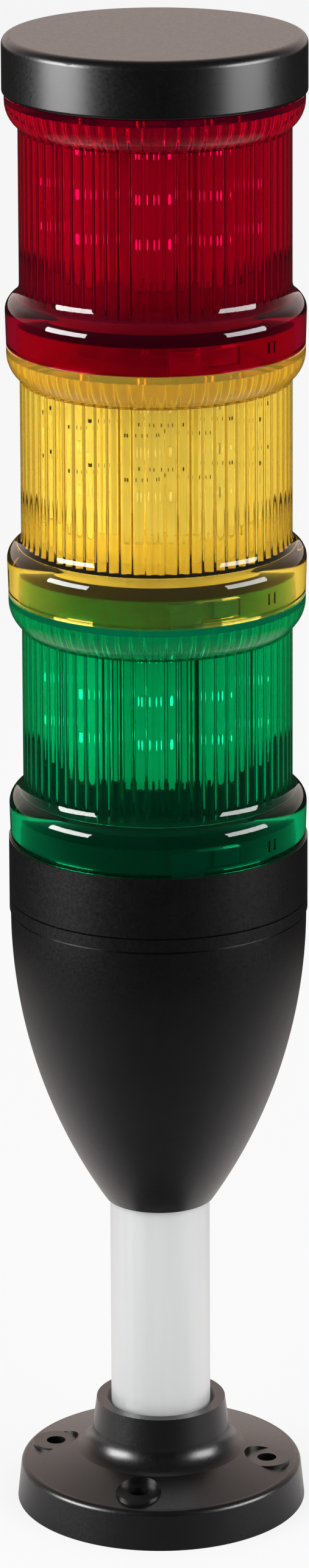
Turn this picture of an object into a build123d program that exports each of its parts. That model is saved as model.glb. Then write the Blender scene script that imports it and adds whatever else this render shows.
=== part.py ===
from build123d import *
import math
import os

os.makedirs("parts", exist_ok=True)

# Signal tower: foot, tube, base with its terminals, three light modules and a cap.
# Millimetres. +Z runs up the tower, and the origin is the middle of the foot's underside.
# The modules and the cap hang together by bayonets: lugs on each neck, slots in each ring.

# Clearances
seat_gap = 0.1
turn_gap = 0.3

# Foot
foot_radius = 36.3
foot_draft = 0.9
foot_rim_height = 10.0
foot_rim_round = 1.6
foot_cone_height = 13.2
foot_cone_run = 4.0
neck_height = 26.1
neck_wall = 3.6
neck_draft = 1.0
neck_root_height = 19.0
neck_countersink = 1.0
foot_ledge = 4.0
ledge_width = 0.5
screw_hole_radius = 2.4
screw_inset = 9.0
screw_count = 4
pad_radius = 5.7
pocket_root_wall = 2.3
pocket_rim_wall = 4.3
pocket_height = 6.5
pocket_angle = 29.0
pocket_start_angle = 14.0

# Flat gasket in the foot's underside
gasket_inset = 1.8
gasket_thickness = 1.5
screw_boss_radius = 4.6

# Tube
tube_radius = 12.5
tube_wall = 1.5
tube_visible = 54.1
tube_stub = 6.7
nut_wall = 4.4
nut_thickness = 5.0
nut_room = 0.95
tube_seal_height = 2.0
tube_seal_width = 1.4
tube_seal_rise = 5.0

# Base housing
ovoid_height = 75.6
ovoid_mouth_wall = 1.1
housing_wall = 2.6
socket_wall = 2.8
lip_height = 3.6
lip_overhang = 0.3
lip_groove_height = 0.5
lip_groove_depth = 0.6
base_overhang = 0.45
post_gap = 1.1
post_radius = 3.5
post_count = 3
post_start = 90.0
post_hole_radius = 1.3
post_hole_depth = 12.0
screw_head_radius = 2.8
screw_head_height = 2.0

# Base ring
base_ring_height = 15.5
base_ring_wall = 2.7
seam_chamfer = 0.4
spigot_length = 8.0
spigot_wall = 2.4
housing_seal_height = 2.0
housing_seal_width = 1.2

# Light modules
module_colours = ("green", "yellow", "red")
module_pitch = 62.65
ring_radius = 36.6
ring_flare = 0.25
ring_height = 8.6
ring_wall = 2.6
shoulder_rise = 6.7
lens_inset = 3.25
lens_wall = 2.0
rib_count = 64
rib_width = 2.3
rib_depth = 0.9
collar_groove_height = 0.6
collar_groove_depth = 0.8
collar_height = 8.05
collar_inset = 0.2
collar_band = 1.85
collar_wall = 2.4
deck_thickness = 2.2

# Bayonets
collar_neck_wall = 2.2
lug_count = 3
lug_angle = -50.0
lug_width = 11.0
lug_bottom = 2.0
lug_height = 3.9
lug_depth = 1.4
lug_rim = 0.7
entry_width = 13.4
unlock_angle = 16.5
end_gap = 0.5
seal_width = 3.6
seal_height = 2.7
seal_gap = 0.2

# Raised marks that line a ring up with the one below
mark_angle = -28.4
mark_pitch = 3.1
mark_width = 1.5
mark_bottom = 3.0
mark_height = 2.8
mark_rise = 0.2

# Light carriers
led_columns = 8
led_start = -82.0
board_apothem = 18.3
board_thickness = 1.2
board_spacing = 2.16
led_rows = 3
led_first_rise = 16.5
led_last_drop = 3.8
led_width = 3.0
led_height = 2.8
led_depth = 1.1
chassis_thickness = 2.5
chassis_gap = 0.2
crown_height = 4.9
crown_tooth = 2.0
crown_notch = 9.0
holder_wall = 1.4
holder_height = 6.8
holder_gap = 0.28
driver_gap = 0.7
driver_thickness = 1.6

# Contacts
contact_count = 6
contact_start = 30.0
contact_inset = 3.4
pin_radius = 1.0
pad_width = 3.0
pad_thickness = 0.3
pad_overlap = 7.0
rivet_radius = 1.2
bar_width = 3.0
bar_thickness = 0.8

# Terminal block
terminal_depth = 28.0
terminal_height = 14.0
terminal_corner = 1.5
terminal_end_wall = 0.8
pole_pitch = 4.4
pole_wall = 1.0
pole_depth = 6.0
pole_height = 9.0
pole_setback = 7.0
clamp_height = 5.0
clamp_wall = 0.6
terminal_screw_wall = 0.5

# Cap
cap_overhang = 0.6
cap_top_wall = 2.4
cap_air = 2.2
cap_top_round = 2.1
cap_bottom_round = 0.8

# Foot and tube: the neck, the nut and the housing's socket fit round the tube
tube_bore_radius = tube_radius - tube_wall
tube_socket_radius = tube_radius + seat_gap
cable_hole_radius = tube_bore_radius - ledge_width
neck_radius = tube_socket_radius + neck_wall
neck_root_radius = neck_radius + neck_draft
foot_cone_radius = neck_root_radius + foot_cone_run
pocket_inner_radius = neck_root_radius + pocket_root_wall
pocket_outer_radius = foot_radius - pocket_rim_wall
gasket_radius = foot_radius - gasket_inset
screw_circle_radius = foot_radius - screw_inset
nut_width = 2 * (tube_socket_radius + nut_wall)
nut_corner_radius = nut_width / 2 / math.cos(math.radians(30))
ovoid_mouth_radius = tube_socket_radius + ovoid_mouth_wall
socket_radius = tube_socket_radius + socket_wall

# Radii that follow the rings of the light modules
lens_radius = ring_radius - lens_inset
lens_inner_radius = lens_radius - lens_wall
collar_foot_radius = lens_radius - collar_inset
bore_radius = ring_radius - ring_wall
neck_outer_radius = bore_radius - turn_gap
neck_inner_radius = neck_outer_radius - collar_neck_wall
lug_radius = neck_outer_radius + lug_depth
slot_radius = lug_radius + turn_gap
base_radius = ring_radius + base_overhang
cap_radius = ring_radius + cap_overhang
ovoid_top_radius = base_radius - lip_overhang

# Housing: its outline is an arc that stands upright at the top
ovoid_run = ovoid_top_radius - ovoid_mouth_radius
ovoid_curve = (ovoid_run**2 + ovoid_height**2) / (2 * ovoid_run)
inner_curve = ovoid_curve - housing_wall


def ovoid_inner_drop(radius):
    """Depth below the widest level at which the housing's inner wall has the given radius."""
    return math.sqrt(inner_curve**2 - (radius - ovoid_top_radius + ovoid_curve) ** 2)


def ovoid_inner_radius(drop):
    """Radius of the housing's inner wall at a depth below its widest level."""
    return math.sqrt(inner_curve**2 - drop**2) + ovoid_top_radius - ovoid_curve


# Heights up the tower
base_bottom = neck_height + tube_visible
ovoid_top = base_bottom + ovoid_height
socket_top = ovoid_top - ovoid_inner_drop(nut_corner_radius + nut_room)
tube_top = socket_top + tube_stub
housing_top = ovoid_top + lip_height
base_top = housing_top + base_ring_height
terminal_top = base_top - deck_thickness
terminal_bottom = terminal_top - terminal_height
cap_bottom = base_top + module_pitch * len(module_colours)

# Heights in a module, from the underside of its ring
track_bottom = lug_bottom - turn_gap
track_top = lug_bottom + lug_height + turn_gap
collar_neck_height = lug_bottom + lug_height + lug_rim
ring_depth = collar_neck_height + seal_gap + seal_height
chassis_top = ring_depth + chassis_thickness
shoulder_top = ring_height + shoulder_rise
lens_top = module_pitch - collar_height
deck_bottom = module_pitch - deck_thickness
led_row_bottom = chassis_top + led_first_rise
led_row_pitch = (lens_top - led_last_drop - led_row_bottom) / (led_rows - 1)
cap_height = ring_depth + cap_air + cap_top_wall

# Spigot and posts inside the base, and the poles of the terminal block
spigot_radius = ovoid_inner_radius(spigot_length - lip_height) - seat_gap
post_circle_radius = spigot_radius - spigot_wall - post_gap - post_radius
terminal_length = pole_pitch * contact_count + 2 * terminal_end_wall
pole_width = pole_pitch - pole_wall
wire_radius = pole_width / 2 - clamp_wall
terminal_screw_radius = pole_width / 2 - terminal_screw_wall

# Light boards, and the crown and the holder that keep them upright
board_width = 2 * board_apothem * math.tan(math.radians(180 / led_columns)) - board_spacing
board_corner_radius = math.hypot(board_apothem, board_width / 2)
crown_radius = board_corner_radius + holder_gap + holder_wall / 2
driver_radius = board_apothem - board_thickness - driver_gap
contact_radius = driver_radius - contact_inset


def export(part, node):
    """Label a finished piece and write it under its node's name."""
    part.label = node
    export_step(part, f"parts/{node}.step")


def ring_sector(height, inner, outer, start, size):
    """Flat piece of a ring, lying at the given height."""
    with BuildSketch(Plane.XY.offset(height)) as sector:
        with BuildLine():
            outer_arc = CenterArc((0, 0), outer, start, size)
            inner_arc = CenterArc((0, 0), inner, start, size)
            Line(outer_arc @ 0, inner_arc @ 0)
            Line(outer_arc @ 1, inner_arc @ 1)
        make_face()
    return sector.sketch


def flat_ring(bottom, inner, outer, height):
    """Plain ring with a rectangular section, such as a seal."""
    with BuildPart() as ring:
        with BuildSketch(Plane.XY.offset(bottom)):
            Circle(outer)
            Circle(inner, mode=Mode.SUBTRACT)
        extrude(amount=height)
    return ring.part


def bayonet_neck(bottom):
    """Upright collar with its lugs, which the ring above slides over."""
    with BuildPart() as neck:
        with BuildSketch(Plane.XY.offset(bottom)):
            Circle(neck_outer_radius)
            Circle(neck_inner_radius, mode=Mode.SUBTRACT)
        extrude(amount=collar_neck_height)
        for lug in range(lug_count):
            middle = lug_angle + lug * 360 / lug_count
            lug_face = ring_sector(
                bottom + lug_bottom, neck_inner_radius, lug_radius, middle - lug_width / 2, lug_width
            )
            extrude(lug_face, amount=lug_height)
    return neck.part


def bayonet_room(bottom):
    """Room in a ring for the neck below it: a bore, and a slot with a track for each lug."""
    with BuildPart() as room:
        with BuildSketch(Plane.XY.offset(bottom)):
            Circle(bore_radius)
        extrude(amount=ring_depth)
        for lug in range(lug_count):
            middle = lug_angle + lug * 360 / lug_count
            entry_start = middle - unlock_angle - entry_width / 2
            track_size = middle + lug_width / 2 + end_gap - entry_start
            entry = ring_sector(bottom, lens_inner_radius, slot_radius, entry_start, entry_width)
            extrude(entry, amount=track_top)
            track = ring_sector(
                bottom + track_bottom, lens_inner_radius, slot_radius, entry_start, track_size
            )
            extrude(track, amount=track_top - track_bottom)
    return room.part


def contact_pads(deck_top):
    """Sprung contacts of the piece above wipe along these arcs, each riveted through the deck."""
    with BuildPart() as pads:
        for contact in range(contact_count):
            angle = contact_start + contact * 360 / contact_count
            arc = ring_sector(
                deck_top,
                contact_radius - pad_width / 2,
                contact_radius + pad_width / 2,
                angle - pad_overlap,
                unlock_angle + 2 * pad_overlap,
            )
            extrude(arc, amount=pad_thickness)
        with BuildSketch(Plane.XY.offset(deck_top)):
            with PolarLocations(contact_radius, contact_count, start_angle=contact_start):
                Circle(rivet_radius)
        extrude(amount=-deck_thickness)
    return pads.part


# Foot: one moulding with a cone-topped flange, a neck for the tube and cored pockets below
with BuildPart() as foot:
    with BuildSketch(Plane.XZ):
        with BuildLine():
            rim_radius = foot_radius - foot_draft
            Line((cable_hole_radius, 0), (foot_radius, 0))
            Line((foot_radius, 0), (rim_radius, foot_rim_height - foot_rim_round))
            TangentArc(
                (rim_radius, foot_rim_height - foot_rim_round),
                (rim_radius - foot_rim_round, foot_rim_height),
                tangent=(0, 1),
            )
            Line((rim_radius - foot_rim_round, foot_rim_height), (foot_cone_radius, foot_cone_height))
            TangentArc(
                (neck_root_radius, neck_root_height),
                (foot_cone_radius, foot_cone_height),
                tangent=(0, -1),
            )
            Line((neck_root_radius, neck_root_height), (neck_radius, neck_height))
            Polyline(
                (neck_radius, neck_height),
                (tube_socket_radius + neck_countersink, neck_height),
                (tube_socket_radius, neck_height - neck_countersink),
                (tube_socket_radius, foot_ledge),
                (cable_hole_radius, foot_ledge),
                (cable_hole_radius, 0),
            )
        make_face()
    revolve(axis=Axis.Z)
    cone_run = rim_radius - foot_rim_round - foot_cone_radius
    cone_share = (screw_circle_radius - foot_cone_radius) / cone_run
    pad_height = foot_cone_height - cone_share * (foot_cone_height - foot_rim_height)
    with BuildSketch(Plane.XY.offset(pad_height)) as pads:
        with PolarLocations(screw_circle_radius, screw_count):
            Circle(pad_radius)
    extrude(pads.sketch, amount=neck_height, mode=Mode.SUBTRACT)
    extrude(pads.sketch, amount=-foot_rim_height / 2)
    with BuildSketch():
        Circle(gasket_radius + 2 * seat_gap)
        with PolarLocations(screw_circle_radius, screw_count):
            Circle(screw_boss_radius, mode=Mode.SUBTRACT)
    extrude(amount=gasket_thickness, mode=Mode.SUBTRACT)
    for quarter in range(screw_count):
        screw_angle = quarter * 360 / screw_count
        next_angle = screw_angle + 360 / screw_count - pocket_start_angle - pocket_angle
        for start in (screw_angle + pocket_start_angle, next_angle):
            pocket = ring_sector(
                gasket_thickness, pocket_inner_radius, pocket_outer_radius, start, pocket_angle
            )
            extrude(pocket, amount=pocket_height - gasket_thickness, mode=Mode.SUBTRACT)
    with BuildSketch():
        with PolarLocations(screw_circle_radius, screw_count):
            Circle(screw_hole_radius)
    extrude(amount=neck_height, mode=Mode.SUBTRACT)
export(foot.part, "foot")

# Flat rubber gasket, level with the foot's rim
with BuildPart() as foot_gasket:
    with BuildSketch():
        Circle(gasket_radius)
        Circle(cable_hole_radius + seat_gap, mode=Mode.SUBTRACT)
        with PolarLocations(screw_circle_radius, screw_count):
            Circle(screw_boss_radius + seat_gap, mode=Mode.SUBTRACT)
    extrude(amount=gasket_thickness)
export(foot_gasket.part, "foot_gasket")

# Tube: stands on the ledge in the foot and ends inside the housing
with BuildPart() as tube:
    with BuildSketch(Plane.XY.offset(foot_ledge)):
        Circle(tube_radius)
        Circle(tube_bore_radius, mode=Mode.SUBTRACT)
    extrude(amount=tube_top - foot_ledge)
export(tube.part, "tube")

# Lock nut that draws the tube into the housing, and the seal ring under it
with BuildPart() as tube_nut:
    with BuildSketch(Plane.XY.offset(socket_top)):
        RegularPolygon(nut_width / 2, 6, major_radius=False)
        Circle(tube_socket_radius, mode=Mode.SUBTRACT)
    extrude(amount=nut_thickness)
export(tube_nut.part, "tube_nut")

tube_seal_bottom = base_bottom + tube_seal_rise
tube_seal_outer = tube_socket_radius + tube_seal_width
tube_seal = flat_ring(tube_seal_bottom, tube_radius + seat_gap / 2, tube_seal_outer, tube_seal_height)
export(tube_seal, "tube_seal")

# Space inside the housing, around its screw posts and the collar that takes the tube
with BuildPart() as cavity:
    with BuildSketch(Plane.XZ):
        with BuildLine():
            inner_top_radius = ovoid_top_radius - housing_wall
            socket_root = ovoid_top - ovoid_inner_drop(socket_radius)
            TangentArc(
                (inner_top_radius, ovoid_top), (socket_radius, socket_root), tangent=(0, -1)
            )
            Polyline(
                (socket_radius, socket_root),
                (socket_radius, socket_top),
                (0, socket_top),
                (0, housing_top),
                (inner_top_radius, housing_top),
                (inner_top_radius, ovoid_top),
            )
        make_face()
    revolve(axis=Axis.Z)
    with BuildSketch(Plane.XY.offset(base_bottom)):
        with PolarLocations(post_circle_radius, post_count, start_angle=post_start):
            Circle(post_radius)
    extrude(amount=base_top - base_bottom, mode=Mode.SUBTRACT)

# Housing: egg-shaped shell with a lip at the top
with BuildPart() as base_housing:
    with BuildSketch(Plane.XZ):
        with BuildLine():
            TangentArc(
                (ovoid_top_radius, ovoid_top), (ovoid_mouth_radius, base_bottom), tangent=(0, -1)
            )
            groove_radius = ovoid_top_radius - lip_groove_depth
            groove_top = ovoid_top + lip_groove_height
            Polyline(
                (ovoid_mouth_radius, base_bottom),
                (tube_socket_radius, base_bottom),
                (tube_socket_radius, housing_top),
                (base_radius, housing_top),
                (base_radius, groove_top),
                (groove_radius, groove_top),
                (groove_radius, ovoid_top),
                (ovoid_top_radius, ovoid_top),
            )
        make_face()
    revolve(axis=Axis.Z)
    add(cavity.part, mode=Mode.SUBTRACT)
    with BuildSketch(Plane.XY.offset(housing_top)):
        with PolarLocations(post_circle_radius, post_count, start_angle=post_start):
            Circle(post_radius)
    extrude(amount=terminal_top - housing_top)
    with BuildSketch(Plane.XY.offset(terminal_top)):
        with PolarLocations(post_circle_radius, post_count, start_angle=post_start):
            Circle(post_hole_radius + seat_gap / 2)
    extrude(amount=-post_hole_depth, mode=Mode.SUBTRACT)
    with BuildSketch(Plane.XY.offset(tube_seal_bottom - seat_gap / 2)):
        Circle(tube_seal_outer + seat_gap / 2)
    extrude(amount=tube_seal_height + seat_gap, mode=Mode.SUBTRACT)
export(base_housing.part, "base_housing")

# Base ring: the black band that closes the housing and carries the first bayonet neck
base_neck = bayonet_neck(base_top)
with BuildPart() as base_ring:
    with BuildSketch(Plane.XZ):
        with BuildLine():
            spigot_inner = spigot_radius - spigot_wall
            ring_inner = base_radius - base_ring_wall
            Polyline(
                (0, base_top),
                (base_radius, base_top),
                (base_radius, housing_top + seam_chamfer),
                (base_radius - seam_chamfer, housing_top),
                (spigot_radius, housing_top),
                (spigot_radius, housing_top - spigot_length),
                (spigot_inner, housing_top - spigot_length),
                (spigot_inner, housing_top + base_ring_wall),
                (ring_inner, housing_top + 2 * base_ring_wall),
                (ring_inner, terminal_top),
                (0, terminal_top),
                close=True,
            )
        make_face()
    revolve(axis=Axis.Z)
    seal_level = housing_top - spigot_length / 2 - housing_seal_height / 2
    with BuildSketch(Plane.XY.offset(seal_level)):
        Circle(base_radius)
        Circle(spigot_radius - housing_seal_width, mode=Mode.SUBTRACT)
    extrude(amount=housing_seal_height, mode=Mode.SUBTRACT)
    add(base_neck)
    with BuildSketch(Plane.XY.offset(terminal_top)):
        with PolarLocations(post_circle_radius, post_count, start_angle=post_start):
            Circle(post_hole_radius + seat_gap)
        with PolarLocations(contact_radius, contact_count, start_angle=contact_start):
            Circle(rivet_radius + seat_gap / 2)
    extrude(amount=deck_thickness, mode=Mode.SUBTRACT)
export(base_ring.part, "base_ring")

housing_seal = flat_ring(
    seal_level,
    spigot_radius - housing_seal_width + seat_gap / 2,
    spigot_radius + seat_gap / 2,
    housing_seal_height,
)
export(housing_seal, "housing_seal")

# Screws that hold the base ring on the housing's posts
with BuildPart() as base_screws:
    with BuildSketch(Plane.XY.offset(base_top)) as heads:
        with PolarLocations(post_circle_radius, post_count, start_angle=post_start):
            Circle(screw_head_radius)
    extrude(amount=screw_head_height)
    with BuildSketch(Plane.XY.offset(base_top)):
        with PolarLocations(post_circle_radius, post_count, start_angle=post_start):
            Circle(post_hole_radius)
    extrude(amount=-(deck_thickness + post_hole_depth - turn_gap))
    with BuildSketch(Plane.XY.offset(base_top + screw_head_height)):
        with PolarLocations(post_circle_radius, post_count, start_angle=post_start):
            Rectangle(screw_head_radius, screw_head_radius / 4)
            Rectangle(screw_head_radius / 4, screw_head_radius)
    extrude(amount=-screw_head_height / 2, mode=Mode.SUBTRACT)
export(base_screws.part, "base_screws")

# Terminal block under the base ring, with a clamp and a screw for each wire
clamp_bottom = terminal_bottom + pole_height - clamp_height
with BuildPart() as terminal_block:
    with BuildSketch(Plane.XY.offset(terminal_bottom)):
        RectangleRounded(terminal_length, terminal_depth, terminal_corner)
    extrude(amount=terminal_height)
    with BuildSketch(Plane.XY.offset(terminal_bottom)):
        with Locations((0, -pole_setback)):
            with GridLocations(pole_pitch, 0, contact_count, 1):
                Rectangle(pole_width, pole_depth)
    extrude(amount=pole_height, mode=Mode.SUBTRACT)
    with BuildSketch(Plane.XZ.offset(terminal_depth / 2)):
        with Locations((0, clamp_bottom + clamp_height / 2)):
            with GridLocations(pole_pitch, 0, contact_count, 1):
                Circle(terminal_screw_radius + seat_gap)
    extrude(amount=-(terminal_depth / 2 - pole_setback), mode=Mode.SUBTRACT)
export(terminal_block.part, "terminal_block")

with BuildPart() as terminal_clamps:
    with BuildSketch(Plane.XY.offset(clamp_bottom)):
        with Locations((0, -pole_setback)):
            with GridLocations(pole_pitch, 0, contact_count, 1):
                Rectangle(pole_width - 2 * seat_gap, pole_depth - 2 * seat_gap)
                Circle(wire_radius, mode=Mode.SUBTRACT)
    extrude(amount=clamp_height)
export(terminal_clamps.part, "terminal_clamps")

with BuildPart() as terminal_screws:
    with BuildSketch(Plane.XZ.offset(terminal_depth / 2)):
        with Locations((0, clamp_bottom + clamp_height / 2)):
            with GridLocations(pole_pitch, 0, contact_count, 1):
                Circle(terminal_screw_radius)
    extrude(amount=-(terminal_depth / 2 - pole_setback - pole_depth / 2))
export(terminal_screws.part, "terminal_screws")

export(contact_pads(base_top), "base_contact_pads")


def build_lens(bottom):
    """Coloured ring, rounded shoulder and lens with upright ribs inside, in one moulding."""
    room = bayonet_room(bottom)
    with BuildPart() as lens:
        with BuildSketch(Plane.XZ):
            with BuildLine():
                shoulder_start = (ring_radius + ring_flare, bottom + ring_height)
                middle = (
                    (ring_radius + ring_flare + lens_radius) / 2,
                    bottom + (ring_height + shoulder_top) / 2,
                )
                shoulder_end = (lens_radius, bottom + shoulder_top)
                Polyline((0, bottom + lens_top), (0, bottom), (ring_radius, bottom), shoulder_start)
                TangentArc(shoulder_start, middle, tangent=(0, 1))
                TangentArc(shoulder_end, middle, tangent=(0, -1))
                Polyline(shoulder_end, (lens_radius, bottom + lens_top), (0, bottom + lens_top))
            make_face()
        revolve(axis=Axis.Z)
        add(room, mode=Mode.SUBTRACT)
        with BuildSketch(Plane.XY.offset(bottom + ring_depth)):
            Circle(bore_radius)
        extrude(amount=chassis_thickness, mode=Mode.SUBTRACT)
        with BuildSketch(Plane.XY.offset(bottom + chassis_top)):
            Circle(lens_inner_radius)
            with PolarLocations(lens_inner_radius, rib_count):
                Polygon(
                    (lens_wall / 2, rib_width / 2),
                    (0, rib_width / 2),
                    (-rib_depth, 0),
                    (0, -rib_width / 2),
                    (lens_wall / 2, -rib_width / 2),
                    align=None,
                    mode=Mode.SUBTRACT,
                )
        extrude(amount=lens_top - chassis_top, mode=Mode.SUBTRACT)
        for side in (-1, 1):
            mark = ring_sector(
                bottom + mark_bottom,
                ring_radius - mark_rise,
                ring_radius + ring_flare + mark_rise,
                mark_angle + side * mark_pitch / 2 - mark_width / 2,
                mark_width,
            )
            extrude(mark, amount=mark_height)
    return lens.part


def build_collar(bottom):
    """Closed top of a module: rounded band, deck and the neck for the next bayonet."""
    neck = bayonet_neck(bottom + module_pitch)
    with BuildPart() as collar:
        with BuildSketch(Plane.XZ):
            with BuildLine():
                band_bottom = bottom + lens_top + collar_groove_height
                band_top = bottom + module_pitch - collar_band
                groove_radius = lens_radius - collar_groove_depth
                deck_top = bottom + module_pitch
                TangentArc((ring_radius, band_top), (collar_foot_radius, band_bottom), tangent=(0, -1))
                Polyline(
                    (collar_foot_radius, band_bottom),
                    (groove_radius, band_bottom),
                    (groove_radius, bottom + lens_top),
                    (collar_foot_radius - collar_wall, bottom + lens_top),
                    (collar_foot_radius - collar_wall, band_bottom),
                )
                TangentArc(
                    (ring_radius - collar_wall, bottom + deck_bottom),
                    (collar_foot_radius - collar_wall, band_bottom),
                    tangent=(0, -1),
                )
                Polyline(
                    (ring_radius - collar_wall, bottom + deck_bottom),
                    (0, bottom + deck_bottom),
                    (0, deck_top),
                    (ring_radius, deck_top),
                    (ring_radius, band_top),
                )
            make_face()
        revolve(axis=Axis.Z)
        add(neck)
        with BuildSketch(Plane.XY.offset(bottom + deck_bottom)):
            Circle(crown_radius + holder_wall / 2)
            Circle(crown_radius - holder_wall / 2, mode=Mode.SUBTRACT)
        extrude(amount=-holder_height)
        with BuildSketch(Plane.XY.offset(bottom + deck_bottom)):
            with PolarLocations(contact_radius, contact_count, start_angle=contact_start):
                Circle(rivet_radius + seat_gap / 2)
        extrude(amount=deck_thickness, mode=Mode.SUBTRACT)
    return collar.part


def build_chassis(bottom):
    """Round floor under a ring's ledge, with a notched crown that holds the light boards upright."""
    with BuildPart() as chassis:
        with BuildSketch(Plane.XY.offset(bottom + ring_depth)):
            Circle(bore_radius - chassis_gap)
        extrude(amount=chassis_thickness)
        with BuildSketch(Plane.XY.offset(bottom + chassis_top)):
            Circle(crown_radius)
            RegularPolygon(
                board_apothem + seat_gap / 2,
                led_columns,
                major_radius=False,
                rotation=led_start + 180 / led_columns,
                mode=Mode.SUBTRACT,
            )
        extrude(amount=crown_height + crown_tooth)
        with BuildSketch(Plane.XY.offset(bottom + chassis_top + crown_height)):
            with PolarLocations(crown_radius, led_columns, start_angle=led_start):
                Rectangle(2 * (crown_radius - board_apothem + led_depth), crown_notch)
        extrude(amount=crown_tooth, mode=Mode.SUBTRACT)
        with BuildSketch(Plane.XY.offset(bottom + ring_depth)):
            with PolarLocations(contact_radius, contact_count, start_angle=contact_start):
                Circle(pin_radius + seat_gap / 2)
        extrude(amount=chassis_thickness, mode=Mode.SUBTRACT)
    return chassis.part


def build_boards(bottom):
    """Upright light boards, one on each side of an octagon."""
    with BuildPart() as boards:
        with BuildSketch(Plane.XY.offset(bottom + chassis_top)):
            with PolarLocations(
                board_apothem - board_thickness / 2, led_columns, start_angle=led_start
            ):
                Rectangle(board_thickness, board_width)
        extrude(amount=deck_bottom - chassis_top)
    return boards.part


def build_leds(bottom):
    """Rows of light chips on the outer faces of the boards."""
    with BuildPart() as leds:
        for row in range(led_rows):
            row_height = bottom + led_row_bottom + row * led_row_pitch
            with BuildSketch(Plane.XY.offset(row_height - led_height / 2)):
                with PolarLocations(board_apothem + led_depth / 2, led_columns, start_angle=led_start):
                    Rectangle(led_depth, led_width)
            extrude(amount=led_height)
    return leds.part


def build_driver(bottom):
    """Round board on the floor, between the light boards, with a slot for each bar."""
    with BuildPart() as driver:
        with BuildSketch(Plane.XY.offset(bottom + chassis_top)):
            Circle(driver_radius)
            with PolarLocations(contact_radius, contact_count, start_angle=contact_start):
                Rectangle(bar_thickness + seat_gap, bar_width + seat_gap, mode=Mode.SUBTRACT)
        extrude(amount=driver_thickness)
    return driver.part


def build_bars(bottom):
    """Flat conductors that carry the supply from the pins up to the next contacts."""
    with BuildPart() as bars:
        with BuildSketch(Plane.XY.offset(bottom + chassis_top)):
            with PolarLocations(contact_radius, contact_count, start_angle=contact_start):
                Rectangle(bar_thickness, bar_width)
        extrude(amount=deck_bottom - chassis_top)
    return bars.part


def build_pins(bottom):
    """Contact pins through the floor, which stop just above the pads of the piece below."""
    with BuildPart() as pins:
        with BuildSketch(Plane.XY.offset(bottom + pad_thickness + turn_gap)):
            with PolarLocations(contact_radius, contact_count, start_angle=contact_start):
                Circle(pin_radius)
        extrude(amount=chassis_top - pad_thickness - turn_gap)
    return pins.part


def build_seal(bottom):
    """Seal under the floor of a module, just clear of the neck that turns below it."""
    seal_bottom = bottom + collar_neck_height + seal_gap
    outer = bore_radius - seat_gap
    return flat_ring(seal_bottom, outer - seal_width, outer, seal_height)


for level, colour in enumerate(module_colours):
    module_bottom = base_top + level * module_pitch
    export(build_lens(module_bottom), f"{colour}_lens")
    export(build_collar(module_bottom), f"{colour}_collar")
    export(build_chassis(module_bottom), f"{colour}_chassis")
    export(build_boards(module_bottom), f"{colour}_light_boards")
    export(build_leds(module_bottom), f"{colour}_leds")
    export(build_driver(module_bottom), f"{colour}_driver_board")
    export(build_bars(module_bottom), f"{colour}_bus_bars")
    export(build_pins(module_bottom), f"{colour}_contact_pins")
    export(build_seal(module_bottom), f"{colour}_seal")
    export(contact_pads(module_bottom + module_pitch), f"{colour}_contact_pads")

# Cap: closes the top with the same bayonet as the rings
cap_room = bayonet_room(cap_bottom)
with BuildPart() as cap:
    with BuildSketch(Plane.XY.offset(cap_bottom)):
        Circle(cap_radius)
    extrude(amount=cap_height)
    fillet(cap.edges().group_by(Axis.Z)[-1], cap_top_round)
    fillet(cap.edges().group_by(Axis.Z)[0], cap_bottom_round)
    add(cap_room, mode=Mode.SUBTRACT)
    with BuildSketch(Plane.XY.offset(cap_bottom + ring_depth)):
        Circle(lens_inner_radius)
    extrude(amount=cap_height - ring_depth - cap_top_wall, mode=Mode.SUBTRACT)
export(cap.part, "cap")

export(build_seal(cap_bottom), "cap_seal")
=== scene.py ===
import bpy
import bmesh
import math
from mathutils import Matrix, Vector


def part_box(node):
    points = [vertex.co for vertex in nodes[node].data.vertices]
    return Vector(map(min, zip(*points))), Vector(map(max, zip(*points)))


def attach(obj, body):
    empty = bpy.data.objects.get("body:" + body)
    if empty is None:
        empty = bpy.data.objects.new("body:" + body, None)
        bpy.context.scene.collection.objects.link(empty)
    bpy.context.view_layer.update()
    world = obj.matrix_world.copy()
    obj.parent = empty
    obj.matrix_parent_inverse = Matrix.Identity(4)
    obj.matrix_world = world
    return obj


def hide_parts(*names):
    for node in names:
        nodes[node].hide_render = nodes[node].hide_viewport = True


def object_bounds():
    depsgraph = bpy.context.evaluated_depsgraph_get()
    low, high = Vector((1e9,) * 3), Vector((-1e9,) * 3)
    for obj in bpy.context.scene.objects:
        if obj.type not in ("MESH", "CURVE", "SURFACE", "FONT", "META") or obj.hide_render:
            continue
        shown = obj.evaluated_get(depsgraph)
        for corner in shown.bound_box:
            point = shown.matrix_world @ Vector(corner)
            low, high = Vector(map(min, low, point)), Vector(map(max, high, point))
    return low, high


# Signal tower with three light modules, in a plain studio. Metres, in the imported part's frame.
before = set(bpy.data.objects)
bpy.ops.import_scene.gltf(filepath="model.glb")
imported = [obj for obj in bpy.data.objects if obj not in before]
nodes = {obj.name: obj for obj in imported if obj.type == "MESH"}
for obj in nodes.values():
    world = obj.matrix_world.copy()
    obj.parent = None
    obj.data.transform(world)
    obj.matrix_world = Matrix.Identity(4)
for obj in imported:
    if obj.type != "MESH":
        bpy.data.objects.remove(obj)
cad_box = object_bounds()
colours = ("green", "yellow", "red")
mm = 0.001

# Light modules: the lens moulding, heights above the ring's underside
ring_height = 8.6 * mm
ring_flare = 0.25 * mm
ring_edge = 0.25 * mm
lens_inset = 3.25 * mm
shoulder_top = 15.3 * mm
lens_wall = 2.0 * mm
chassis_top = 12.0 * mm
rib_count = 64
rib_width = 2.9 * mm
rib_depth = 0.7 * mm
rib_steps = 12
edge_round = 0.2 * mm
arc_steps = 7

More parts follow.
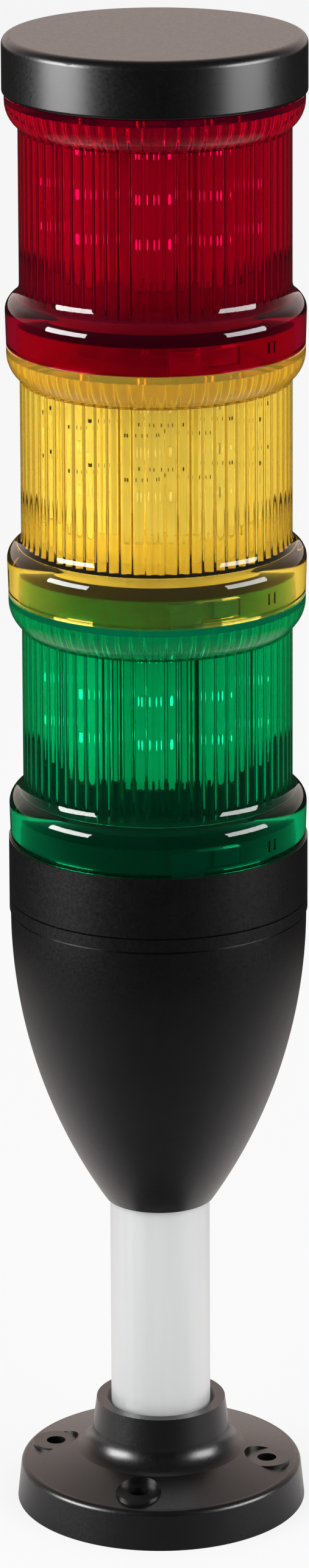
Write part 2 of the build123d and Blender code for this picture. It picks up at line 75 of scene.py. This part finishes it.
# Collar on top of each module
groove_height = 0.6 * mm
groove_depth = 0.8 * mm
collar_foot = 0.2 * mm
collar_wall = 2.4 * mm
collar_band = 1.85 * mm
deck_thickness = 2.2 * mm
collar_rib_depth = 0.7 * mm
holder_radius = 20.4 * mm
holder_wall = 1.4 * mm
holder_height = 6.8 * mm

# Bayonets, in degrees and metres
bore_radius = 34.0 * mm
turn_gap = 0.3 * mm
neck_wall = 2.2 * mm
neck_height = 6.6 * mm
lug_count = 3
lug_angle = -50.0
lug_width = 11.0
lug_bottom = 2.0 * mm
lug_height = 3.9 * mm
lug_depth = 1.4 * mm
entry_width = 13.4
unlock_angle = 16.5
end_gap = 0.5
mark_angle = -28.4
mark_pitch = 3.1
mark_width = 1.5
mark_bottom = 3.0 * mm
mark_top = 5.8 * mm
mark_rise = 0.2 * mm
edge_draft = 0.3

# Light boards
led_columns = 8
led_rows = 3
led_start = -82.0
led_row_bottom = 28.5 * mm
led_row_pitch = 11.15 * mm
led_width = 3.0 * mm
led_height = 2.8 * mm
led_body = 0.7 * mm
led_round = 0.12 * mm
dome_radius = 1.3 * mm
dome_flatness = 0.75
dome_place = 0.9
dome_segments = 16
dome_rings = 10
board_apothem = 18.3 * mm
board_side = 13.0 * mm
post_side = 2.4 * mm
chip_width = 1.6 * mm
chip_height = 0.8 * mm
chip_thickness = 0.5 * mm
chip_offset = 2.6 * mm
chip_spread = 0.12

# Meshes: what is merged, and the angles above which edges stay sharp
merge_distance = 1e-7
turned_sharp = 28
boxed_sharp = 30

# Finishes: the part of a noise that is used, the clouds and the grain, and the clear plastic
colour_range = (0.35, 0.65)
number_range = (0.3, 0.7)
cloud_size = 12
cloud_detail = 3.0
grain_detail = 5.0
flow_scale = 60
flow_detail = 2.0
flow_stretch = (1, 1, 0.3)
flow_strength = 0.12
flow_depth = 0.1 * mm
clear_roughness = (0.01, 0.04)
clear_ior = 1.49

# Camera: where it stood, from the ellipses of the cap, the base's seam and the foot
image_height = 2576
view_azimuth = math.radians(12.0)
view_pan = math.radians(0.007)
view_distance = 1.5
view_height = 0.657
view_pitch = math.radians(11.98)
view_roll = math.radians(-0.268)
view_shift = 0.38
focal_pixels = 10362
sensor = 36.0

# Lamps, round the tower from the camera's side: two strips to be mirrored, two soft boxes to light
strip_distance = 1.2
strip_azimuth = math.radians(72)
strip_elevation = math.radians(7)
strip_lift = 0.1
strip_size = (0.8, 0.5)
strip_radiance = {-1: 18.0, 1: 11.0}
box_distance = 1.8
box_size = (1.2, 1.2)
boxes = {
    "key": (math.radians(-60), math.radians(40), 3.0),
    "fill": (math.radians(50), math.radians(35), 2.0),
}

# Studio, with its greys from behind the tower (0) to in front of it (1): the sky and the floor as they
# are mirrored, and both as they are seen through a clear piece
world_level = 0.6
sky_steps = (
    (0.0, (1.0, 0.82, 0.76)),
    (0.1, (0.97, 0.8, 0.74)),
    (0.2, (0.4, 0.34, 0.32)),
    (0.35, (0.1, 0.095, 0.095)),
    (0.6, (0.04, 0.04, 0.04)),
    (0.8, (0.02, 0.02, 0.02)),
    (1.0, (0.01, 0.01, 0.01)),
)
# The floor's painted light and shade as mirrored: pale behind the tower, darker in front of it
floor_painted_light_steps = (
    (0.0, (1.0, 0.92, 0.88)),
    (0.3, (0.9, 0.85, 0.84)),
    (0.6, (0.5, 0.48, 0.49)),
    (0.85, (0.25, 0.24, 0.25)),
    (1.0, (0.17, 0.16, 0.17)),
)
through_steps = (
    (0.0, (1.0, 1.0, 1.0)),
    (0.45, (1.0, 1.0, 1.0)),
    (0.62, (0.6, 0.6, 0.6)),
    (0.8, (0.38, 0.38, 0.38)),
    (1.0, (0.32, 0.32, 0.32)),
)
# A painted pool of light on the floor as mirrored: full near the tower, fading to far_level further out
near_floor = 0.1
far_floor = 0.42
far_level = 0.015
floor_reach = 8.0
floor_grey = 0.85
floor_roughness = 0.7
floor_glow = 0.8


def material(name):
    """New node material and its shader."""
    made = bpy.data.materials.new(name)
    made.use_nodes = True
    return made, made.node_tree, made.node_tree.nodes["Principled BSDF"]


def noise(tree, scale, detail, stretch):
    """Noise over the piece's own place in the tower, as a factor output."""
    coords = tree.nodes.new("ShaderNodeTexCoord")
    mapping = tree.nodes.new("ShaderNodeMapping")
    mapping.inputs["Scale"].default_value = stretch
    texture = tree.nodes.new("ShaderNodeTexNoise")
    texture.inputs["Scale"].default_value = scale
    texture.inputs["Detail"].default_value = detail
    tree.links.new(coords.outputs["Object"], mapping.inputs["Vector"])
    tree.links.new(mapping.outputs["Vector"], texture.inputs["Vector"])
    return texture.outputs["Fac"]


def ramp(tree, factor, first, second):
    """Colour that runs between two close colours."""
    blend = tree.nodes.new("ShaderNodeValToRGB")
    for stop, place, colour in zip(blend.color_ramp.elements, colour_range, (first, second)):
        stop.position = place
        stop.color = (*colour, 1)
    tree.links.new(factor, blend.inputs["Fac"])
    return blend.outputs["Color"]


def spread(tree, factor, low, high):
    """Maps a noise factor to a narrow range of numbers."""
    change = tree.nodes.new("ShaderNodeMapRange")
    change.inputs["From Min"].default_value = number_range[0]
    change.inputs["From Max"].default_value = number_range[1]
    change.inputs["To Min"].default_value = low
    change.inputs["To Max"].default_value = high
    tree.links.new(factor, change.inputs["Value"])
    return change.outputs["Result"]


def bump(tree, height, strength, depth):
    """Bump from a height factor."""
    relief = tree.nodes.new("ShaderNodeBump")
    relief.inputs["Strength"].default_value = strength
    relief.inputs["Distance"].default_value = depth
    tree.links.new(height, relief.inputs["Height"])
    return relief.outputs["Normal"]


def moulded(
    name, first, second, roughness, grain, strength=0.25, depth=0.05 * mm, stretch=(1, 1, 1), **sockets
):
    """Opaque finish: two close colours in soft clouds, a fine grain, and gloss that varies a little;
    given an emission strength, the piece also glows in the same colours, as painted light.
    """
    made, tree, shader = material(name)
    clouds = noise(tree, grain / cloud_size, cloud_detail, stretch)
    fine = noise(tree, grain, grain_detail, stretch)
    tree.links.new(ramp(tree, clouds, first, second), shader.inputs["Base Color"])
    tree.links.new(spread(tree, fine, *roughness), shader.inputs["Roughness"])
    tree.links.new(bump(tree, fine, strength, depth), shader.inputs["Normal"])
    for socket, value in sockets.items():
        shader.inputs[socket.replace("_", " ")].default_value = value
    # A glow in the piece's own colours: painted light, as the piece is no lamp
    if "Emission_Strength" in sockets:
        tree.links.new(ramp(tree, clouds, first, second), shader.inputs["Emission Color"])
    return made


def tinted(name, first, second, absorbed, density, clearness):
    """Clear coloured plastic: polished, with faint flow waves, and darker where it is thick."""
    made, tree, shader = material(name)
    flow = noise(tree, flow_scale, flow_detail, flow_stretch)
    tree.links.new(ramp(tree, flow, first, second), shader.inputs["Base Color"])
    tree.links.new(spread(tree, flow, *clear_roughness), shader.inputs["Roughness"])
    tree.links.new(bump(tree, flow, flow_strength, flow_depth), shader.inputs["Normal"])
    shader.inputs["Transmission Weight"].default_value = clearness
    shader.inputs["IOR"].default_value = clear_ior
    volume = tree.nodes.new("ShaderNodeVolumeAbsorption")
    volume.inputs["Color"].default_value = (*absorbed, 1)
    volume.inputs["Density"].default_value = density
    tree.links.new(volume.outputs["Volume"], tree.nodes["Material Output"].inputs["Volume"])
    return made


def turned(name, angles, rows):
    """Closed skin of a turned piece. A row is (radius, height); the radius may depend on the angle."""
    points = []
    for radius, height in rows:
        for angle in angles:
            reach = radius(angle) if callable(radius) else radius
            turn = math.radians(angle)
            points.append((reach * math.cos(turn), reach * math.sin(turn), height))
    columns = len(angles)
    faces = []
    for row in range(len(rows)):
        following = (row + 1) % len(rows)
        for column in range(columns):
            beside = (column + 1) % columns
            faces.append(
                (
                    row * columns + column,
                    row * columns + beside,
                    following * columns + beside,
                    following * columns + column,
                )
            )
    mesh = bpy.data.meshes.new(name)
    mesh.from_pydata(points, [], faces)
    return finished(name, mesh, turned_sharp)


def finished(name, mesh, sharp_angle):
    """Merges what coincides, turns the faces outwards and makes the object."""
    work = bmesh.new()
    work.from_mesh(mesh)
    bmesh.ops.remove_doubles(work, verts=work.verts, dist=merge_distance)
    bmesh.ops.dissolve_degenerate(work, edges=work.edges, dist=merge_distance)
    bmesh.ops.recalc_face_normals(work, faces=work.faces)
    work.to_mesh(mesh)
    work.free()
    mesh.shade_smooth()
    mesh.set_sharp_from_angle(angle=math.radians(sharp_angle))
    piece = bpy.data.objects.new(name, mesh)
    bpy.context.scene.collection.objects.link(piece)
    return piece


def arc(start, end, start_upright):
    """Points of the arc from start to end that is upright at one of them, without its last point."""
    run, rise = end[0] - start[0], end[1] - start[1]
    radius = (run * run + rise * rise) / (2 * abs(run))
    fixed = start if start_upright else end
    other = end if start_upright else start
    side = 1 if other[0] > fixed[0] else -1
    centre = (fixed[0] + side * radius, fixed[1])
    first = math.atan2(start[1] - centre[1], start[0] - centre[0])
    last = math.atan2(end[1] - centre[1], end[0] - centre[0])
    if last - first > math.pi:
        last -= 2 * math.pi
    if first - last > math.pi:
        last += 2 * math.pi
    points = []
    for step in range(arc_steps):
        turn = first + (last - first) * step / arc_steps
        points.append((centre[0] + radius * math.cos(turn), centre[1] + radius * math.sin(turn)))
    return points


def in_range(angle, start, size):
    """Whether an angle lies in a range, both in degrees."""
    return (angle - start) % 360 < size


def lug_starts(offset):
    """Start of a range that repeats for each lug, measured from the lug's middle."""
    return [lug_angle + lug * 360 / lug_count + offset for lug in range(lug_count)]


def rib_angles(edges):
    """Angles of the grid's columns: even steps along the ribs, and a pair at each edge."""
    angles = [column * 360 / (rib_count * rib_steps) for column in range(rib_count * rib_steps)]
    for edge in edges:
        angles += [(edge - edge_draft) % 360, (edge + edge_draft) % 360]
    return sorted(angles)


def ribbed(radius, depth):
    """Inner radius with upright ribs that stand in from it."""

    def reach(angle):
        pitch = 2 * math.pi * radius / rib_count
        along = (angle / 360 * rib_count + 0.5) % 1 - 0.5
        share = min(1, abs(along) * pitch / (rib_width / 2))
        return radius - depth * (1 + math.cos(math.pi * share)) / 2

    return reach


def build_lens(colour):
    """Ring with its bayonet slots, rounded shoulder and ribbed lens, in one moulding."""
    low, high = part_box(f"{colour}_lens")
    bottom, top, ring_radius = low.z, high.z, high.x - ring_flare
    lens_radius = ring_radius - lens_inset
    inner_radius = lens_radius - lens_wall
    slot_radius = bore_radius + lug_depth
    entry_start = -unlock_angle - entry_width / 2
    track_size = lug_width / 2 + end_gap - entry_start
    entries = lug_starts(entry_start)
    marks = [mark_angle - mark_width / 2 + side * mark_pitch / 2 for side in (-1, 1)]
    edges = []
    for start in entries:
        edges += [start, start + entry_width, start + track_size]
    for start in marks:
        edges += [start, start + mark_width]

    def track(angle):
        in_track = any(in_range(angle, start, track_size) for start in entries)
        return slot_radius if in_track else bore_radius

    def entry(angle):
        in_entry = any(in_range(angle, start, entry_width) for start in entries)
        return slot_radius if in_entry else bore_radius

    def flared(height):
        return ring_radius + ring_flare * height / ring_height

    def mark(height):
        def reach(angle):
            on_mark = any(in_range(angle, start, mark_width) for start in marks)
            return ring_radius + ring_flare + mark_rise if on_mark else flared(height)

        return reach

    ribs = ribbed(inner_radius, rib_depth)
    middle = ((ring_radius + ring_flare + lens_radius) / 2, bottom + (ring_height + shoulder_top) / 2)
    rows = [
        (ring_radius - ring_edge, bottom),
        (ring_radius, bottom + ring_edge),
        (flared(mark_bottom), bottom + mark_bottom),
        (mark(mark_bottom), bottom + mark_bottom),
        (mark(mark_top), bottom + mark_top),
        (flared(mark_top), bottom + mark_top),
    ]
    rows += arc((ring_radius + ring_flare, bottom + ring_height), middle, True)
    rows += arc(middle, (lens_radius, bottom + shoulder_top), False)
    rows += [
        (lens_radius, bottom + shoulder_top),
        (lens_radius, top - edge_round),
        (lens_radius - edge_round, top),
        (ribs, top),
        (ribs, bottom + chassis_top),
        (bore_radius, bottom + chassis_top),
        (bore_radius, bottom + lug_bottom + lug_height + turn_gap),
        (track, bottom + lug_bottom + lug_height + turn_gap),
        (track, bottom + lug_bottom - turn_gap),
        (entry, bottom + lug_bottom - turn_gap),
        (entry, bottom),
    ]
    lens = turned(f"{colour}_lens_moulding", rib_angles(edges), rows)
    lens.data.materials.append(tints[colour])
    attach(lens, f"{colour}_module")
    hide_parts(f"{colour}_lens")


def build_collar(colour):
    """Closed top of a module: rounded band, deck and the neck with its lugs."""
    low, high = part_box(f"{colour}_collar")
    lens_top = low.z
    neck_top = high.z
    deck_top = neck_top - neck_height
    deck_bottom = deck_top - deck_thickness
    ring_radius = high.x
    lens_radius = ring_radius - lens_inset
    foot_radius = lens_radius - collar_foot
    band_bottom = lens_top + groove_height
    band_top = deck_top - collar_band
    neck_radius = bore_radius - turn_gap
    lug_radius = neck_radius + lug_depth
    lugs = lug_starts(-lug_width / 2)
    edges = []
    for start in lugs:
        edges += [start, start + lug_width]

    def lug(angle):
        on_lug = any(in_range(angle, start, lug_width) for start in lugs)
        return lug_radius if on_lug else neck_radius

    rows = [(lens_radius - groove_depth, lens_top), (lens_radius - groove_depth, band_bottom)]
    rows += arc((foot_radius, band_bottom), (ring_radius, band_top), False)
    rows += [
        (ring_radius, band_top),
        (ring_radius, deck_top - edge_round),
        (ring_radius - edge_round, deck_top),
        (neck_radius, deck_top),
        (neck_radius, deck_top + lug_bottom),
        (lug, deck_top + lug_bottom),
        (lug, deck_top + lug_bottom + lug_height),
        (neck_radius, deck_top + lug_bottom + lug_height),
        (neck_radius, neck_top - edge_round),
        (neck_radius - edge_round, neck_top),
        (neck_radius - neck_wall, neck_top),
        (neck_radius - neck_wall, deck_top),
        (0, deck_top),
        (0, deck_bottom),
        (holder_radius - holder_wall / 2, deck_bottom),
        (holder_radius - holder_wall / 2, deck_bottom - holder_height),
        (holder_radius + holder_wall / 2, deck_bottom - holder_height),
        (holder_radius + holder_wall / 2, deck_bottom),
    ]
    inside = arc((ring_radius - collar_wall, deck_bottom), (foot_radius - collar_wall, band_bottom), True)
    rows += [(ribbed(radius, collar_rib_depth), height) for radius, height in inside]
    rows += [
        (ribbed(foot_radius - collar_wall, collar_rib_depth), band_bottom),
        (foot_radius - collar_wall, lens_top),
    ]
    collar = turned(f"{colour}_collar_moulding", rib_angles(edges), rows)
    collar.data.materials.append(collar_tints[colour])
    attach(collar, f"{colour}_module")
    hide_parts(f"{colour}_collar")


def set_round(work, made, size, place, turn):
    """Scales a new shape, moves it out to its place and turns it about the tower's axis."""
    bmesh.ops.scale(work, vec=size, verts=made)
    bmesh.ops.translate(work, vec=place, verts=made)
    bmesh.ops.rotate(work, cent=(0, 0, 0), matrix=Matrix.Rotation(turn, 3, "Z"), verts=made)


def add_box(work, size, place, turn):
    """Small box with its middle at a place, turned about the tower's axis."""
    set_round(work, bmesh.ops.create_cube(work, size=1.0)["verts"], size, place, turn)


def add_dome(work, place, turn):
    """Flattened dome of a light chip at a place, turned about the tower's axis."""
    made = bmesh.ops.create_uvsphere(
        work, u_segments=dome_segments, v_segments=dome_rings, radius=dome_radius
    )["verts"]
    set_round(work, made, (dome_flatness, 1, 1), place, turn)


def column_turn(column):
    """Turn of a column of the carrier; half a column more is the corner beside it."""
    return math.radians(led_start + column * 360 / led_columns)


def object_from(work, name):
    """Makes an object of a bmesh."""
    mesh = bpy.data.meshes.new(name)
    work.to_mesh(mesh)
    work.free()
    return finished(name, mesh, boxed_sharp)


def build_leds(colour):
    """Light chips: a white case with a clear dome on each; the domes glow as a painted highlight."""
    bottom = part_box(f"{colour}_lens")[0].z
    cases = bmesh.new()
    domes = bmesh.new()
    for column in range(led_columns):
        for row in range(led_rows):
            turn = column_turn(column)
            height = bottom + led_row_bottom + row * led_row_pitch
            reach = board_apothem + led_body / 2
            add_box(cases, (led_body, led_width, led_height), (reach, 0, height), turn)
            add_dome(domes, (board_apothem + led_body * dome_place, 0, height), turn)
    bmesh.ops.bevel(
        cases, geom=cases.edges[:], offset=led_round, segments=2, affect="EDGES", clamp_overlap=True
    )
    case = object_from(cases, f"{colour}_led_cases")
    case.data.materials.append(finishes["led_case"])
    dome = object_from(domes, f"{colour}_led_domes")
    dome.data.materials.append(finishes["led_dome_faint_painted_glow" if colour == "yellow" else "led_dome"])
    for piece in (case, dome):
        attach(piece, f"{colour}_module")
        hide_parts(f"{colour}_leds")


def build_chips(colour):
    """Small parts on the light boards, between the rows of light chips."""
    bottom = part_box(f"{colour}_lens")[0].z
    chips = bmesh.new()
    for column in range(led_columns):
        for row in range(led_rows):
            for side in (-1, 1):
                rows_up = row + 0.5 + chip_spread * side
                height = bottom + led_row_bottom + rows_up * led_row_pitch
                place = (board_apothem + chip_thickness / 2, side * chip_offset, height)
                size = (chip_thickness, chip_width, chip_height)
                add_box(chips, size, place, column_turn(column))
    piece = object_from(chips, f"{colour}_board_chips")
    piece.data.materials.append(finishes["chip"])
    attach(piece, f"{colour}_module")


def build_posts(colour):
    """Upright posts of the carrier, one in each corner between the light boards."""
    low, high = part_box(f"{colour}_light_boards")
    posts = bmesh.new()
    corner = math.hypot(board_apothem, board_side / 2) - post_side / 2
    size = (post_side, post_side, high.z - low.z)
    for column in range(led_columns):
        add_box(posts, size, (corner, 0, (low.z + high.z) / 2), column_turn(column + 0.5))
    piece = object_from(posts, f"{colour}_carrier_posts")
    piece.data.materials.append(carriers[colour])
    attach(piece, f"{colour}_module")


def dress(node, finish):
    """Gives a carried-over CAD node its finish."""
    slots = nodes[node].data.materials
    slots.clear()
    slots.append(finish)


def area_light(name, azimuth, elevation, distance, size, radiance, target):
    """Soft box that faces the tower, with its brightness as a radiance."""
    lamp = bpy.data.lights.new(name, "AREA")
    lamp.shape = "RECTANGLE"
    lamp.size, lamp.size_y = size
    lamp.energy = radiance * math.pi * size[0] * size[1]
    holder = bpy.data.objects.new(name, lamp)
    heading = view_azimuth + azimuth
    away = Vector((math.sin(heading), -math.cos(heading), math.tan(elevation))).normalized()
    holder.location = Vector(target) + away * distance
    holder.rotation_euler = away.to_track_quat("Z", "Y").to_euler()
    bpy.context.scene.collection.objects.link(holder)
    return holder


def mirrored_only(tree, path):
    """1 for a mirrored ray, and 0 for one through a clear piece, which Cycles marks as both."""
    rest = tree.nodes.new("ShaderNodeMath")
    rest.operation = "SUBTRACT"
    rest.use_clamp = True
    tree.links.new(path["Is Glossy Ray"], rest.inputs[0])
    tree.links.new(path["Is Transmission Ray"], rest.inputs[1])
    return rest.outputs["Value"]


def background(tree, level):
    """Plain background of one grey."""
    shader = tree.nodes.new("ShaderNodeBackground")
    shader.inputs["Color"].default_value = (level, level, level, 1)
    return shader.outputs["Background"]


def coloured(tree, kind, colour):
    """Background or emission shader of a linked colour."""
    shader = tree.nodes.new(kind)
    tree.links.new(colour, shader.inputs["Color"])
    return shader


def mixed(tree, factor, first, second):
    """Mix of two shaders."""
    mix = tree.nodes.new("ShaderNodeMixShader")
    tree.links.new(factor, mix.inputs["Fac"])
    tree.links.new(first, mix.inputs[1])
    tree.links.new(second, mix.inputs[2])
    return mix.outputs["Shader"]


def studio_shade(tree, direction, steps):
    """Greys of the studio round the tower, from behind it (0) to in front of it (1)."""
    unit = tree.nodes.new("ShaderNodeVectorMath")
    unit.operation = "NORMALIZE"
    tree.links.new(direction, unit.inputs[0])
    # Half the cosine of the angle to the photograph's side, and a half more, runs from 0 to 1
    facing = tree.nodes.new("ShaderNodeVectorMath")
    facing.operation = "DOT_PRODUCT"
    facing.inputs[1].default_value = (math.sin(view_azimuth) / 2, -math.cos(view_azimuth) / 2, 0)
    tree.links.new(unit.outputs["Vector"], facing.inputs[0])
    place = tree.nodes.new("ShaderNodeMath")
    place.inputs[1].default_value = 0.5
    tree.links.new(facing.outputs["Value"], place.inputs[0])
    shade = tree.nodes.new("ShaderNodeValToRGB")
    tree.links.new(place.outputs["Value"], shade.inputs["Fac"])
    stops = shade.color_ramp.elements
    stops[0].position, stops[0].color = steps[0][0], (*steps[0][1], 1)
    stops[1].position, stops[1].color = steps[-1][0], (*steps[-1][1], 1)
    for stop, colour in steps[1:-1]:
        stops.new(stop).color = (*colour, 1)
    return shade.outputs["Color"]


def build_world():
    """White behind the tower and through it, soft grey round it, dark where its front mirrors."""
    world = bpy.data.worlds.new("studio")
    world.use_nodes = True
    bpy.context.scene.world = world
    tree = world.node_tree
    tree.nodes.clear()
    output = tree.nodes.new("ShaderNodeOutputWorld")
    direction = tree.nodes.new("ShaderNodeTexCoord").outputs["Generated"]
    mirrored = coloured(tree, "ShaderNodeBackground", studio_shade(tree, direction, sky_steps))
    through = coloured(tree, "ShaderNodeBackground", studio_shade(tree, direction, through_steps))
    path = tree.nodes.new("ShaderNodeLightPath").outputs
    soft = mixed(tree, path["Is Camera Ray"], background(tree, world_level), background(tree, 1.0))
    open_view = mixed(tree, path["Is Transmission Ray"], soft, through.outputs["Background"])
    surface = mixed(tree, mirrored_only(tree, path), open_view, mirrored.outputs["Background"])
    tree.links.new(surface, output.inputs["Surface"])


def build_floor():
    """Pale floor that stays white to the camera and through the lenses, and keeps a soft shadow; in
    mirrors it shows a painted pool of light round the tower.
    """
    made, tree, shader = material("floor_white")
    shader.inputs["Base Color"].default_value = (floor_grey, floor_grey, floor_grey, 1)
    shader.inputs["Roughness"].default_value = floor_roughness
    shader.inputs["Specular IOR Level"].default_value = 0.0
    glow = tree.nodes.new("ShaderNodeEmission")
    spot = tree.nodes.new("ShaderNodeTexCoord").outputs["Object"]
    mirrored = coloured(tree, "ShaderNodeEmission", studio_shade(tree, spot, floor_painted_light_steps))
    through = coloured(tree, "ShaderNodeEmission", studio_shade(tree, spot, through_steps))
    # The floor's glow to mirrored rays is painted light, fading with distance from the tower
    distance = tree.nodes.new("ShaderNodeVectorMath")
    distance.operation = "LENGTH"
    tree.links.new(spot, distance.inputs[0])
    painted_pool_fade = tree.nodes.new("ShaderNodeMapRange")
    painted_pool_fade.inputs["From Min"].default_value = near_floor
    painted_pool_fade.inputs["From Max"].default_value = far_floor
    painted_pool_fade.inputs["To Min"].default_value = 1.0
    painted_pool_fade.inputs["To Max"].default_value = far_level
    tree.links.new(distance.outputs["Value"], painted_pool_fade.inputs["Value"])
    tree.links.new(painted_pool_fade.outputs["Result"], mirrored.inputs["Strength"])
    path = tree.nodes.new("ShaderNodeLightPath").outputs
    share = tree.nodes.new("ShaderNodeMath")
    share.operation = "MULTIPLY"
    share.inputs[1].default_value = floor_glow
    tree.links.new(path["Is Camera Ray"], share.inputs[0])
    pale = mixed(tree, share.outputs["Value"], shader.outputs["BSDF"], glow.outputs["Emission"])
    open_view = mixed(tree, path["Is Transmission Ray"], pale, through.outputs["Emission"])
    surface = mixed(tree, mirrored_only(tree, path), open_view, mirrored.outputs["Emission"])
    tree.links.new(surface, tree.nodes["Material Output"].inputs["Surface"])
    corners = [(x * floor_reach, y * floor_reach, 0) for x, y in ((-1, -1), (1, -1), (1, 1), (-1, 1))]
    floor_mesh = bpy.data.meshes.new("floor")
    floor_mesh.from_pydata(corners, [], [(0, 1, 2, 3)])
    floor = bpy.data.objects.new("floor", floor_mesh)
    floor.data.materials.append(made)
    bpy.context.scene.collection.objects.link(floor)


def build_camera():
    """Camera at the photograph's place, with as much shift as its framing needs."""
    lens = bpy.data.cameras.new("camera")
    lens.sensor_width = sensor
    lens.lens = focal_pixels / image_height * sensor
    lens.shift_y = -view_shift
    camera = bpy.data.objects.new("camera", lens)
    heading = Matrix.Rotation(view_azimuth + view_pan, 4, "Z")
    tilt = Matrix.Rotation(math.pi / 2 - view_pitch, 4, "X")
    roll = Matrix.Rotation(view_roll, 4, "Z")
    side, back = view_distance * math.sin(view_azimuth), -view_distance * math.cos(view_azimuth)
    place = Matrix.Translation((side, back, view_height))
    camera.matrix_world = place @ heading @ tilt @ roll
    bpy.context.scene.collection.objects.link(camera)
    bpy.context.scene.camera = camera


# Finishes: name, two close colours, roughness from and to, and grain; the light chips' domes also get the
# strength of a painted glow
black = moulded(
    "black_moulding",
    (0.0022, 0.002, 0.0021),
    (0.0034, 0.003, 0.0032),
    (0.27, 0.34),
    1500,
    strength=0.05,
    depth=0.03 * mm,
    IOR=1.62,
)
rubber = moulded(
    "black_rubber", (0.018, 0.018, 0.018), (0.03, 0.03, 0.03), (0.65, 0.8), 2200, strength=0.35
)
seal_rubber = moulded(
    "seal_rubber",
    (0.004, 0.004, 0.004),
    (0.008, 0.007, 0.007),
    (0.75, 0.85),
    2200,
    strength=0.3,
    Specular_IOR_Level=0.05,
)
carriers = {
    "red": moulded("red_carrier", (0.3, 0.28, 0.27), (0.36, 0.34, 0.33), (0.4, 0.55), 1800),
    "yellow": moulded("pale_carrier", (0.82, 0.72, 0.4), (0.9, 0.8, 0.48), (0.4, 0.5), 1800),
    "green": moulded("black_carrier", (0.01, 0.01, 0.01), (0.018, 0.017, 0.017), (0.4, 0.55), 1800),
}
tube_metal = moulded(
    "tube_anodised",
    (0.8, 0.81, 0.81),
    (0.86, 0.865, 0.865),
    (0.38, 0.46),
    2600,
    strength=0.15,
    depth=0.02 * mm,
    stretch=(1, 1, 0.04),
    Metallic=0.2,
)
nut_grey = moulded("nut_moulding", (0.1, 0.1, 0.1), (0.14, 0.14, 0.14), (0.45, 0.6), 1500)
steel = moulded(
    "zinc_steel", (0.52, 0.53, 0.55), (0.66, 0.66, 0.66), (0.25, 0.4), 2400, Metallic=1.0
)
brass = moulded(
    "contact_brass", (0.72, 0.54, 0.24), (0.82, 0.64, 0.34), (0.2, 0.32), 2400, Metallic=1.0
)
terminal_grey = moulded(
    "terminal_moulding", (0.31, 0.33, 0.34), (0.38, 0.4, 0.41), (0.45, 0.6), 1500
)
board_white = moulded("board_mask", (0.84, 0.84, 0.82), (0.9, 0.9, 0.88), (0.3, 0.4), 900)
board_grey = moulded("board_mask_grey", (0.55, 0.55, 0.53), (0.62, 0.62, 0.6), (0.3, 0.4), 900)
board_green = moulded("driver_mask", (0.03, 0.17, 0.07), (0.06, 0.26, 0.12), (0.3, 0.42), 900)
dome_finish_and_painted_glow = ((0.9, 0.89, 0.84), (0.95, 0.94, 0.9), (0.16, 0.24), 2000)
finishes = {
    "led_case": moulded(
        "led_case_white", (0.86, 0.85, 0.8), (0.92, 0.91, 0.86), (0.35, 0.45), 2000
    ),
    # The domes glow: a painted highlight in place of the lamps' glints on them; the yellow ones glow only
    # faintly
    "led_dome": moulded("led_dome_painted_glow", *dome_finish_and_painted_glow, Emission_Strength=1.8),
    "led_dome_faint_painted_glow": moulded("led_dome_faint_painted_glow", *dome_finish_and_painted_glow, Emission_Strength=0.25),
    "chip": moulded("chip_black", (0.02, 0.02, 0.022), (0.04, 0.04, 0.042), (0.35, 0.5), 2000),
}

# Clear plastics: two close colours, the colour that is let through, and how densely the rest is held back
lens_colours = {
    "red": ((0.97, 0.008, 0.18), (0.99, 0.01, 0.2), (0.77, 0.01, 0.46), 640),
    "yellow": ((1.0, 0.91, 0.5), (1.0, 0.94, 0.55), (0.998, 0.9, 0.34), 360),
    "green": ((0.012, 0.78, 0.48), (0.014, 0.82, 0.51), (0.01, 0.72, 0.45), 300),
}
collar_colours = {
    "red": ((0.9, 0.008, 0.12), (0.93, 0.01, 0.14), (0.85, 0.01, 0.3), 260),
    "yellow": ((1.0, 0.68, 0.08), (1.0, 0.72, 0.1), (0.998, 0.85, 0.3), 120),
    "green": ((0.004, 0.62, 0.24), (0.006, 0.66, 0.27), (0.01, 0.78, 0.4), 220),
}
lens_clearness = {"red": 0.985, "yellow": 0.99, "green": 0.992}
collar_clearness = {"red": 0.95, "yellow": 0.72, "green": 0.8}
tints = {}
collar_tints = {}
for colour in lens_colours:
    tints[colour] = tinted(f"{colour}_clear", *lens_colours[colour], lens_clearness[colour])
    collar_tints[colour] = tinted(
        f"{colour}_collar_clear", *collar_colours[colour], collar_clearness[colour]
    )

# Finish of each piece, and the pieces that this scene builds itself
for node in ("foot", "base_housing", "base_ring", "cap"):
    dress(node, black)
for node in ("foot_gasket", "tube_seal", "housing_seal", "cap_seal"):
    dress(node, rubber)
dress("tube", tube_metal)
dress("tube_nut", nut_grey)
dress("terminal_block", terminal_grey)
for node in ("base_screws", "terminal_screws"):
    dress(node, steel)
for node in ("terminal_clamps", "base_contact_pads"):
    dress(node, brass)
for colour in colours:
    dress(f"{colour}_seal", seal_rubber)
    dress(f"{colour}_chassis", carriers[colour])
    dress(f"{colour}_light_boards", board_grey if colour == "red" else board_white)
    dress(f"{colour}_driver_board", board_green)
    for piece in ("bus_bars", "contact_pins", "contact_pads"):
        dress(f"{colour}_{piece}", brass)
    build_lens(colour)
    build_collar(colour)
    build_leds(colour)
    build_posts(colour)
build_chips("yellow")

# Studio
build_world()
build_floor()
build_camera()
middle_height = (cad_box[0][2] + cad_box[1][2]) / 2
for side in (-1, 1):
    strip = area_light(
        "strip_left" if side < 0 else "strip_right",
        side * strip_azimuth,
        strip_elevation,
        strip_distance,
        strip_size,
        strip_radiance[side],
        (0, 0, middle_height + strip_lift),
    )
    strip.visible_diffuse = False
    strip.visible_camera = False
for name, (azimuth, elevation, radiance) in boxes.items():
    box = area_light(
        name, azimuth, elevation, box_distance, box_size, radiance, (0, 0, middle_height)
    )
    box.visible_glossy = False
    box.visible_camera = False

scene = bpy.context.scene
scene.view_settings.view_transform = "Standard"
